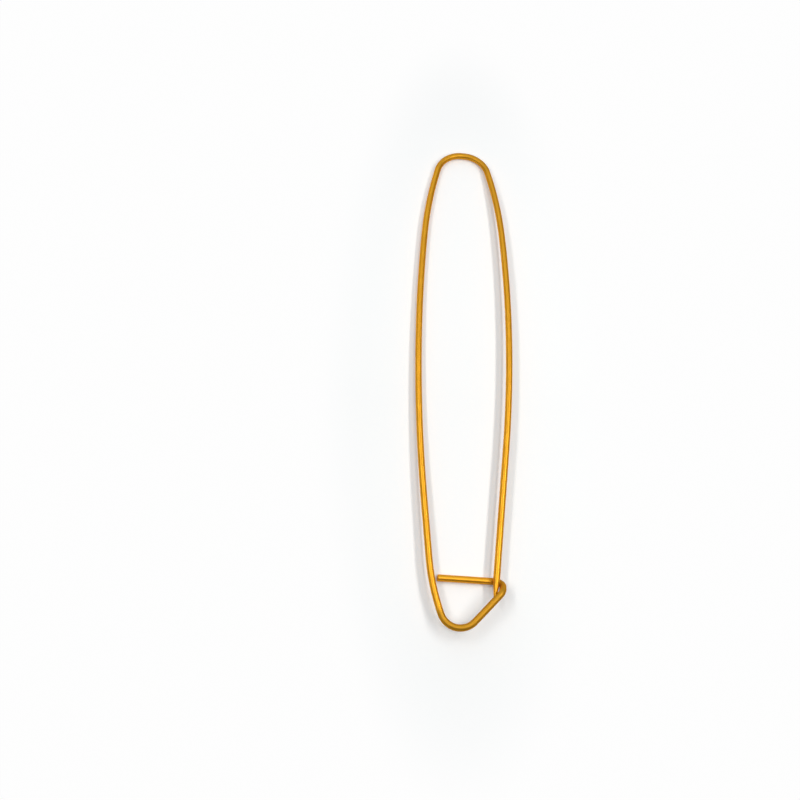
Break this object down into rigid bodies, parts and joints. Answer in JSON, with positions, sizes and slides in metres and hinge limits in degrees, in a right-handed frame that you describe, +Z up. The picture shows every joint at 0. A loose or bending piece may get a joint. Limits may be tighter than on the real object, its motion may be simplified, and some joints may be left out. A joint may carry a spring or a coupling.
{
  "type": "stitch holder",
  "caption": "Long safety-pin shaped stitch holder bent from one aluminium wire, with a sprung pin leg that hooks into a catch formed from the same wire.",
  "frame": {"origin": "on the table, under the middle of the part's length and width", "axes": "+Y from the foot to the crown, along the legs; +X across, towards the pin leg; +Z up from the table, so the part lies flat"},
  "size_m": [0.0288, 0.1498, 0.0066],
  "materials": {
    "anodised_wire": "gold anodised, satin, with fine lines along the wire",
    "pin_wire": "gold anodised, satin, with fine lines along the wire",
    "ground_point": "gold anodised over a ground taper, slightly brighter"
  },
  "bodies": {
    "wire_frame": {"crown_bend": "anodised_wire", "back_leg": "anodised_wire", "foot_bend": "anodised_wire", "ramp": "anodised_wire", "catch_bend": "anodised_wire", "guard_bar": "anodised_wire"},
    "pin": {"pin_leg": "pin_wire", "pin_point": "ground_point"}
  },
  "joints": [
    {"name": "pin_swing", "type": "hinge", "parent": "wire_frame", "child": "pin", "pos_m": [-0.00009, 0.07399, 0.00096], "axis": [-0.4472, 0, -0.8944], "range_deg": [0, 12], "stiffness_Nm_per_rad": 0.7, "springref_deg": -3.44, "deforming": ["crown_bend"]}
  ]
}
